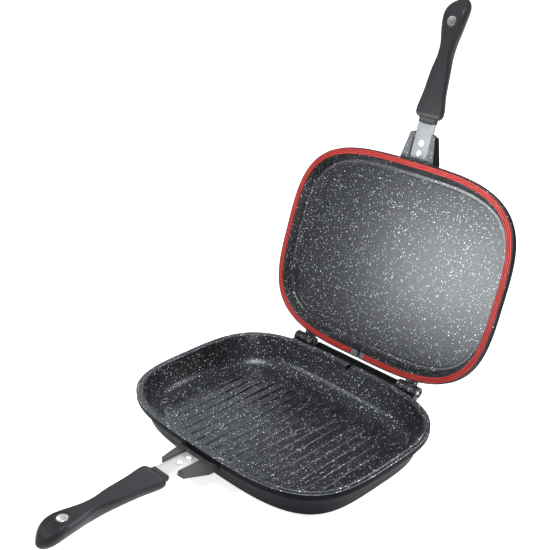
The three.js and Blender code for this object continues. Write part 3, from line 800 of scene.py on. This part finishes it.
# Vent slot at the back of the lid's rim, with a plain pad on each side that closes the
# gasket's groove, where the coating is worn to grey.
gasket_end_left = 0.012
gasket_end_right = 0.009
vent_width = 0.004
vent_depth = 0.0034
pad_front = pan_depth / 2 - lid_rim_width + lid_lip / 2
pad_back = pan_depth / 2 - groove_inset + seat_gap
vent_pads = block("vent_pads", (seat_gap - gasket_end_left, pad_front, -groove_depth - seat_gap),
                  (gasket_end_right - seat_gap, pad_back, 0))
for piece in (vent_pads, lid_pan):
    carve(piece, block("vent", (-vent_width / 2, pan_depth / 2 - ledge_inset, -vent_depth),
                       (vent_width / 2, pan_depth / 2 + overrun, overrun)))
soften(vent_pads, fine_round, 2)
smooth(lid_pan, 40)

# Hinge eyes of the lid: on each side an arm comes off the flange and ends in a barrel round
# the pin, with the heel behind it.
eye_root_inset = 0.007
arm_margin = 0.0003


def lid_eye(start, end):
    """Arm, barrel and heel of one eye."""
    piece = rod("eye", knuckle_radius, (start, hinge_y, axis_rise), (end, hinge_y, axis_rise), knuckle_sides)
    root = pan_depth / 2 - eye_root_inset
    carve(piece, side_prism("arm", [
        (root, -arm_margin), (root, arm_margin - flange_height), (hinge_y, axis_rise - knuckle_radius),
        (hinge_y, -arm_margin),
    ], start, end), "UNION")
    carve(piece, block("heel", (start, hinge_y, axis_rise - heel_half),
                       (end, hinge_y + heel_reach, axis_rise + heel_half)), "UNION")
    soften(piece, casting_round, 3)
    carve(piece, rod("bore", pin_radius + pin_clearance, (start - overrun, hinge_y, axis_rise),
                     (end + overrun, hinge_y, axis_rise)))
    return piece


eye_end = eye_start + eye_width
lid_eyes = join("lid_eyes", [lid_eye(eye_start, eye_end), lid_eye(-eye_end, -eye_start)])
smooth(lid_eyes, 15)
lid_fork = fork("lid_fork")
two_coats(lid_pan)
paint(vent_pads, cloudy("worn_coating", 0.5, 1000, 3, (0.01, 0.01, 0.011, 1), (0.16, 0.16, 0.167, 1)))
paint(lid_eyes, coat)
# The lid's fork takes a lighter copy of the bracket coating, with dots; its lighter tone is painted light.
paint(lid_fork, speckled("bracket_coating_lightened_as_painted_light", 0.42, (0.032, 0.032, 0.036, 1), (0.070, 0.070, 0.077, 1)))
# The plain coat goes on the fork's underside, the casting's plain outside, and on the prongs' outer sides,
# where its darkness is painted shade.
repaint(lid_fork, skin, lambda face: face.normal.z < -0.3
        or face.normal.x * math.copysign(1, face.center.x) > 0.8)


def settle_lid(piece, in_plate_frame=False):
    """Turns a piece of the lid half over and swings it open."""
    if in_plate_frame:
        piece.data.transform(from_plate)
    piece.data.transform(swing)
    piece.data.flip_normals()
    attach(piece, "lid")


for piece, tilted in ((lid_pan, False), (vent_pads, False), (lid_eyes, False), (lid_fork, True)):
    settle_lid(piece, tilted)
    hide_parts("lid_pan")

# Gasket: a strip of red silicone pressed into the groove, with three raised ribs that seal
# against the lower rim. It stops at each side of the vent.
gasket_ribs = 3
gasket_rib_height = 0.0010
gasket_rib_shares = (0.15, 0.32, 0.5, 0.68, 0.85, 1.0)
gasket_rib_power = 4
middle_reach = 0.01
shaded_share = 0.4
gasket_pitch = gasket_width / gasket_ribs
gasket_face = gasket_proud - gasket_rib_height
gasket_profile = [(gasket_inset, gasket_face)]
for rib in range(gasket_ribs):
    for share in gasket_rib_shares:
        rise = gasket_rib_height * (1 - (2 * share - 1) ** gasket_rib_power)
        gasket_profile.append((gasket_inset + (rib + share) * gasket_pitch, gasket_face + rise))
gasket = outline_prism("lid_gasket_strip", gasket_proud - gasket_height, gasket_face, gasket_inset)
pick_faces(gasket, facing_up)
follow(gasket_profile, 1)
put_down()
pick_faces(gasket, facing_down)
bpy.ops.mesh.inset(thickness=gasket_width, depth=0, use_even_offset=True)
put_down()
pick_faces(gasket, lambda place, normal: abs(normal.z) > 0.99
           and max(abs(place.x), abs(place.y)) < middle_reach)
bpy.ops.mesh.bridge_edge_loops()
put_down()
carve(gasket, block("gap", (-gasket_end_left, pan_depth / 2 - lid_rim_width - overrun, -gasket_height),
                    (gasket_end_right, pan_depth / 2 + overrun, gasket_height)))
smooth(gasket, 50)
silicone = cloudy("red_silicone", 0.45, 90, 4, (0.29, 0.016, 0.011, 1), (0.36, 0.024, 0.018, 1), specular=0.3)
roughen(silicone, 1800, 2, 0.08, 0.0002)
# The faces between the ribs take a darker red, as painted shade in the grooves.
shaded = cloudy("red_silicone_with_painted_shade_in_the_grooves", 0.6, 90, 4, (0.11, 0.006, 0.004, 1), (0.16, 0.010, 0.008, 1),
                specular=0.2)
shaded_top = gasket_proud - gasket_rib_height * shaded_share
paint(gasket, silicone)
repaint(gasket, shaded, lambda face: gasket_face < face.center.z < shaded_top)
settle_lid(gasket)
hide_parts("lid_gasket")

# Tang plates: a flat of stainless steel on each fork, wide between the prongs, that narrows
# to a tongue inside the handle. Riveted to the fork, with a screw in the handle, edges broken.
rivet_shank_radius = 0.002
rivet_places = {"inner": 0.00625, "outer": -0.00625}
handle_start = 0.030
tongue_width = 0.013
tongue_length = 0.028
screw_reach = 0.015
screw_shank_radius = 0.0017
line_scales = (900, 60, 900)
tongue_end = -handle_start - tongue_length
screw_place = -handle_start - screw_reach
halves = {"lower": settle_lower, "lid": settle_lid}


def tang(name):
    """Plate and tongue in one, with their holes."""
    piece = block(name, (-plate_width / 2, seat_gap - handle_start, -plate_thickness),
                  (plate_width / 2, plate_inner_end, 0))
    soften(piece, fine_round, 3)
    half = tongue_width / 2
    tongue = block("tongue", (-half, tongue_end, -plate_thickness), (half, near - handle_start, 0))
    soften(tongue, faint_round, 2)
    carve(piece, tongue, "UNION")
    holes = [(screw_place, screw_shank_radius)]
    holes += [(place, rivet_shank_radius) for place in rivet_places.values()]
    for place, radius in holes:
        carve(piece, rod("hole", radius + seat_gap, (0, place, -plate_thickness - overrun),
                         (0, place, overrun)))
    smooth(piece, 15)
    return piece


def brushed(name, roughness, dark, light):
    """Matt steel, with fine lines along the plate."""
    steel = finish(name, roughness, metallic=1.0)
    stretch = node(steel, "ShaderNodeMapping", Scale=line_scales)
    wire(steel, object_place(steel), stretch.inputs["Vector"])
    color = clouds(steel, stretch.outputs["Vector"], 1, 3, dark, light)
    wire(steel, color, shader_input(steel, "Base Color"))
    return steel


# The lid's plate takes a darker copy of the same steel, as painted shade.
plate_steels = {"lower": brushed("brushed_steel", 0.56, (0.52, 0.50, 0.48, 1), (0.64, 0.62, 0.59, 1)),
                "lid": brushed("steel_darkened_as_painted_shade", 0.75, (0.27, 0.27, 0.265, 1), (0.36, 0.355, 0.35, 1))}
for half, settle in halves.items():
    plate = tang(half + "_tang_plate")
    paint(plate, plate_steels[half])
    settle(plate, True)
    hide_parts(half + "_tang")

# Rivets: two on each tang, turned from aluminium, with a domed head over the plate and a
# shank through it into the fork.
rivet_head_radius = 0.0039
rivet_head_height = 0.0018
rivet_head_edge = 0.0002
rivet_grip = 0.0042
dome_turns = [math.radians(11 * step) for step in range(8)]


def rivet(name, place):
    """Head and shank of one rivet."""
    piece = rod(name, rivet_head_radius, (0, place, seat_gap), (0, place, seat_gap + rivet_head_edge), 40)
    pick_faces(piece, facing_up)
    follow([(rivet_head_radius * (1 - math.cos(turn)),
             rivet_head_height * math.sin(turn) + rivet_head_edge * (1 - math.sin(turn)))
            for turn in dome_turns], 1)
    put_down()
    pick_faces(piece, facing_down)
    bpy.ops.mesh.inset(thickness=rivet_head_radius - rivet_shank_radius, depth=0)
    extrude(0, 0, -seat_gap - plate_thickness - rivet_grip)
    put_down()
    smooth(piece, 40)
    return piece


rivet_tone = cloudy("turned_aluminium", 0.5, 1500, 2, (0.84, 0.84, 0.83, 1), (0.93, 0.93, 0.92, 1),
                    metallic=1.0)
for half, settle in halves.items():
    for place in rivet_places:
        piece = rivet(half + "_rivet_" + place, rivet_places[place])
        paint(piece, rivet_tone)
        settle(piece, True)
        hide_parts(half + "_tang_rivet_" + place)

# Handles: two half handles moulded in matt black phenolic resin, with a flat face, chamfered
# edges and a rounded back, waisted in the middle and drooping at the thick tip.
handle_length = 0.1465
handle_width = 0.038
handle_thickness = 0.020
face_rise = 0.003
handle_chamfer = 0.0036
back_power = 2.5
edge_reach = 0.0008
root_shrink = 0.0005
root_ring_share = 0.004
handle_sides = 48
low_edge_points = 2
high_edge_points = 7
magnet_reach = 0.148
magnet_set = 0.0002
cup_radius = 0.0082
cup_depth = 0.0039
screw_head_radius = 0.0034
screw_seat = 0.0032

# Along the handle: length share, width share, face share of that width, thickness share, and
# the share of the thickness by which the face drops
handle_shares = (
    (0, 0.632, 0.958, 0.48, 0.09), (0.033, 0.632, 0.958, 0.48, 0.09), (0.041, 0.728, 0.945, 0.515, 0.067),
    (0.051, 0.875, 0.932, 0.573, 0.031), (0.066, 0.96, 0.929, 0.62, 0.008),
    (0.082, 0.989, 0.927, 0.643, 0.001), (0.109, 0.986, 0.925, 0.652, 0), (0.137, 0.953, 0.923, 0.655, 0),
    (0.171, 0.894, 0.925, 0.665, 0), (0.205, 0.829, 0.931, 0.677, 0), (0.246, 0.77, 0.931, 0.689, 0),
    (0.294, 0.731, 0.924, 0.701, 0), (0.341, 0.697, 0.913, 0.71, 0), (0.396, 0.658, 0.896, 0.72, 0),
    (0.444, 0.605, 0.855, 0.753, 0), (0.485, 0.547, 0.815, 0.799, 0), (0.519, 0.489, 0.796, 0.85, 0),
    (0.553, 0.459, 0.786, 0.89, 0), (0.587, 0.463, 0.753, 0.912, 0), (0.621, 0.489, 0.724, 0.912, 0),
    (0.662, 0.56, 0.698, 0.895, 0), (0.703, 0.644, 0.703, 0.879, 0), (0.744, 0.718, 0.733, 0.876, 0),
    (0.785, 0.77, 0.758, 0.884, 0.001), (0.819, 0.8, 0.77, 0.915, 0.005),
    (0.846, 0.819, 0.766, 0.914, 0.03), (0.874, 0.825, 0.763, 0.893, 0.079),
    (0.901, 0.803, 0.747, 0.841, 0.165), (0.928, 0.735, 0.718, 0.769, 0.276),
    (0.952, 0.618, 0.675, 0.661, 0.407), (0.973, 0.464, 0.614, 0.516, 0.557),
    (0.988, 0.294, 0.535, 0.347, 0.693), (0.997, 0.176, 0.486, 0.198, 0.783), (1, 0.126, 0.458, 0.13, 0.82),
)


def share_at(along, column):
    """Value of a column of the handle's table at a share of its length."""
    row = sum(1 for entry in handle_shares[1:-1] if entry[0] <= along)
    before, after = handle_shares[row], handle_shares[row + 1]
    share = (along - before[0]) / (after[0] - before[0])
    return before[column] + (after[column] - before[column]) * share


def bend(start, middle, end, share):
    """Point of a curve that rounds a corner."""
    return start.lerp(middle, share).lerp(middle.lerp(end, share), share)


def handle_point(turn, along, shrink):
    """Place of a point of the handle's section, across and up, at a turn round it."""
    half = handle_width / 2 * share_at(along, 1) - shrink
    face = half * share_at(along, 2)
    thickness = handle_thickness * share_at(along, 3) - shrink
    top = face_rise - handle_thickness * share_at(along, 4)
    chamfer = min(handle_chamfer, thickness / 3)
    hand = math.copysign(1, math.cos(turn))
    if math.sin(turn) < -0.001:
        across = half * abs(math.cos(turn)) ** (2 / back_power)
        return hand * across, top - chamfer - (thickness - chamfer) * abs(math.sin(turn)) ** (2 / back_power)
    quarter = handle_sides / 4
    place = round((1 - abs(2 * turn / math.pi - 1)) * quarter)
    low, high = Vector((half, -chamfer)), Vector((face, -shrink))
    slope = (high - low).normalized()
    reach = min(edge_reach, face / 2, chamfer / 3)
    if place <= low_edge_points:
        spot = bend(low + Vector((0, -reach)), low, low + slope * reach, place / low_edge_points)
    elif place <= high_edge_points:
        share = (place - low_edge_points - 1) / (high_edge_points - low_edge_points - 1)
        spot = bend(high - slope * reach, high, high - Vector((reach, 0)), share)
    else:
        spot = Vector(((face - reach) * (quarter - place) / (quarter - high_edge_points), -shrink))
    return hand * spot.x, top + spot.y


def handle(name):
    """Half handle, shaped ring by ring, with its channel, screw hole and pocket."""
    piece = rod(name, 1, (0, -1, 0), (0, 0, 0), handle_sides)
    stations = [root_ring_share] + [entry[0] for entry in handle_shares[1:-1]]
    stations += [(low + high) / 2 for low, high in zip(stations[1:], stations[2:])]
    pick_faces(piece, lambda place, normal: True)
    for along in sorted(stations):
        bpy.ops.mesh.select_all(action="SELECT")
        bpy.ops.mesh.bisect(plane_co=(0, -along, 0), plane_no=(0, 1, 0))
    put_down()
    for corner in piece.data.vertices:
        turn = math.atan2(corner.co.z, corner.co.x) % (2 * math.pi)
        if 2 * math.pi - turn < 0.001:
            turn = 0
        along = -corner.co.y
        shrink = root_shrink if along < root_ring_share / 2 else 0
        across, rise = handle_point(turn, along, shrink)
        corner.co = (across, -handle_start - handle_length * along, rise)
    half = tongue_width / 2 + seat_gap
    seat_level = -plate_thickness - seat_gap
    past_the_back = -handle_thickness - overrun
    carve(piece, block("channel", (-half, tongue_end - seat_gap, seat_level),
                       (half, overrun - handle_start, seat_gap)))
    carve(piece, rod("shank_hole", screw_shank_radius + seat_gap, (0, screw_place, past_the_back),
                     (0, screw_place, 0)))
    carve(piece, rod("counterbore", screw_head_radius + seat_gap, (0, screw_place, past_the_back),
                     (0, screw_place, seat_level - screw_seat), 40))
    carve(piece, rod("pocket", cup_radius + seat_gap,
                     (0, -magnet_reach, face_rise - magnet_set - cup_depth - seat_gap),
                     (0, -magnet_reach, face_rise + overrun), 64))
    smooth(piece, 32)
    return piece


resin = cloudy("matt_resin", 0.42, 50, 4, (0.009, 0.009, 0.0095, 1), (0.012, 0.012, 0.0125, 1),
               specular=0.22)
roughen(resin, 1600, 2, 0.15, 0.0002)
for half, settle in halves.items():
    piece = handle(half + "_handle_grip")
    paint(piece, resin)
    settle(piece, True)
    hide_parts(half + "_handle")

# Magnets: a nickel-plated disc in a dark steel cup, let into each handle's face, and meant to
# hold the two handles together when the pan is shut.
cup_bore = 0.0061
cup_floor = 0.001
cup_inner_break = 0.0002
cup_wall_taper = 0.00001
magnet_radius = 0.0058
magnet_rim_width = 0.0010
magnet_dish_slope = 0.0003
magnet_dish_depth = 0.0001
cup_top = face_rise - magnet_set
cup_bottom = cup_top - cup_depth
cup_wall = cup_radius - cup_bore
magnet_edge = arc(fine_round, cup_top - fine_round, fine_round, 180, 90, 3)
cup_profile = [*magnet_edge, (cup_wall - cup_inner_break, cup_top), (cup_wall, cup_top - cup_inner_break),
               (cup_wall + cup_wall_taper, cup_bottom + cup_floor)]
disc_profile = [*magnet_edge, (magnet_rim_width, cup_top),
                (magnet_rim_width + magnet_dish_slope, cup_top - magnet_dish_depth)]


def nickel_plate(name, roughness, dark, light):
    """Nickel plate with faint clouds."""
    return cloudy(name, roughness, 350, 3, dark, light, metallic=1.0)


def magnet_round(name, radius, bottom, profile):
    """Round piece of the magnet, with its top shaped along a profile."""
    piece = rod(name, radius, (0, -magnet_reach, bottom), (0, -magnet_reach, cup_top - fine_round), 64)
    pick_faces(piece, facing_up)
    follow(profile, 1)
    put_down()
    smooth(piece, 40)
    return piece


cup_tone = cloudy("dark_steel", 0.45, 700, 2, (0.020, 0.020, 0.021, 1), (0.032, 0.032, 0.033, 1),
                  metallic=0.6)
# The lid's disc takes a darker copy of the same nickel plate, as painted shade.
nickels = {"lower": nickel_plate("nickel_plate", 0.28, (0.70, 0.655, 0.61, 1), (0.80, 0.755, 0.715, 1)),
           "lid": nickel_plate("nickel_plate_darkened_as_painted_shade", 0.34, (0.22, 0.21, 0.185, 1), (0.33, 0.32, 0.29, 1))}
for half, settle in halves.items():
    cup = magnet_round(half + "_magnet_steel_cup", cup_radius, cup_bottom, cup_profile)
    disc = magnet_round(half + "_magnet_disc", magnet_radius, cup_bottom + cup_floor + seat_gap, disc_profile)
    for piece, tone, slot, replaced in ((cup, cup_tone, "cup", "_magnet_cup"),
                                        (disc, nickels[half], "magnet", "_magnet")):
        paint(piece, tone)
        settle(piece, True)
        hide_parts(half + replaced)

# Handle screws: zinc-plated steel, one in the back of each handle, with a round slotted head
# in a counterbore and a shank that ends in the tang's tongue.
screw_head_height = 0.0022
screw_head_round = 0.0005
screw_slot_half = 0.0005
screw_slot_depth = 0.001
shank_root = 0.0005
screw_head_top = -plate_thickness - 2 * seat_gap - screw_seat
screw_head_bottom = screw_head_top - screw_head_height
slot_reach = screw_head_radius + overrun
screw_tone = cloudy("zinc_plated_steel", 0.3, 500, 3, (0.48, 0.48, 0.49, 1), (0.60, 0.60, 0.61, 1),
                    metallic=1.0)
for half, settle in halves.items():
    piece = rod(half + "_screw", screw_head_radius, (0, screw_place, screw_head_bottom),
                (0, screw_place, screw_head_top), 40)
    soften(piece, screw_head_round, 3)
    carve(piece, block("slot", (-screw_slot_half, screw_place - slot_reach, screw_head_bottom - overrun),
                       (screw_slot_half, screw_place + slot_reach, screw_head_bottom + screw_slot_depth)))
    shank = rod("shank", screw_shank_radius, (0, screw_place, screw_head_top - shank_root),
                (0, screw_place, -seat_gap), 24)
    soften(shank, faint_round, 2)
    carve(piece, shank, "UNION")
    smooth(piece, 40)
    paint(piece, screw_tone)
    settle(piece, True)
    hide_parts(half + "_handle_screw")

# Hinge pins: steel pins pressed through the cheeks and the lid's eyes, domed at the outer
# end, which sits in a round socket.
pin_set = 0.0004
pin_dome = 0.0006
pin_dome_share = 0.9
pin_turns = [math.radians(15 * step) for step in range(7)]
pin_tone = cloudy("pin_steel", 0.32, 900, 2, (0.42, 0.42, 0.43, 1), (0.55, 0.55, 0.56, 1), metallic=1.0)
for side_name, hand in (("right", 1), ("left", -1)):
    pin = rod("hinge_pin_" + side_name + "_steel", pin_radius, on_axis(hand * (cheek_start + pin_set)),
              on_axis(hand * (hinge_end - pin_set - pin_dome)), 40)
    pick_faces(pin, lambda place, normal: hand * normal.x > 0.9)
    follow([(pin_radius * pin_dome_share * (1 - math.cos(turn)), pin_dome * math.sin(turn))
            for turn in pin_turns], 1)
    put_down()
    smooth(pin, 40)
    paint(pin, pin_tone)
    settle_lower(pin)
    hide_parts("hinge_pin_" + side_name)

# Drip tray: a narrow trough moulded in black plastic that slides in between the clevises
# under the notch. Its front wall is low, to take what the notch pours out.
tray_wall = 0.0015
tray_front_height = 0.0028
tray = block("drip_trough", (-tray_half, tray_front, tray_bottom), (tray_half, tray_back, tray_top))
pick_faces(tray, facing_up)
bpy.ops.mesh.inset(thickness=tray_wall, depth=0)
extrude(0, 0, tray_bottom + tray_wall - tray_top)
put_down()
carve(tray, block("low_front", (tray_wall - tray_half, tray_front - overrun, tray_bottom + tray_front_height),
                  (tray_half - tray_wall, tray_front + overrun, tray_top + overrun)))
soften(tray, faint_round, 2)
smooth(tray, 40)
plastic = cloudy("black_plastic", 0.5, 80, 3, (0.005, 0.005, 0.0055, 1), (0.008, 0.008, 0.0085, 1),
                 specular=0.2)
# The tops of the tray's walls are painted lighter, as a painted highlight along them.
rim_highlight_plastic = cloudy("plastic_rim_with_painted_highlight", 0.4, 300, 3, (0.020, 0.020, 0.021, 1), (0.075, 0.075, 0.078, 1))
paint(tray, plastic)
repaint(tray, rim_highlight_plastic, lambda face: face.normal.z > 0.9 and face.center.z > tray_bottom + tray_wall + near / 2)
settle_lower(tray, body="tray")
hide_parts("drip_tray")
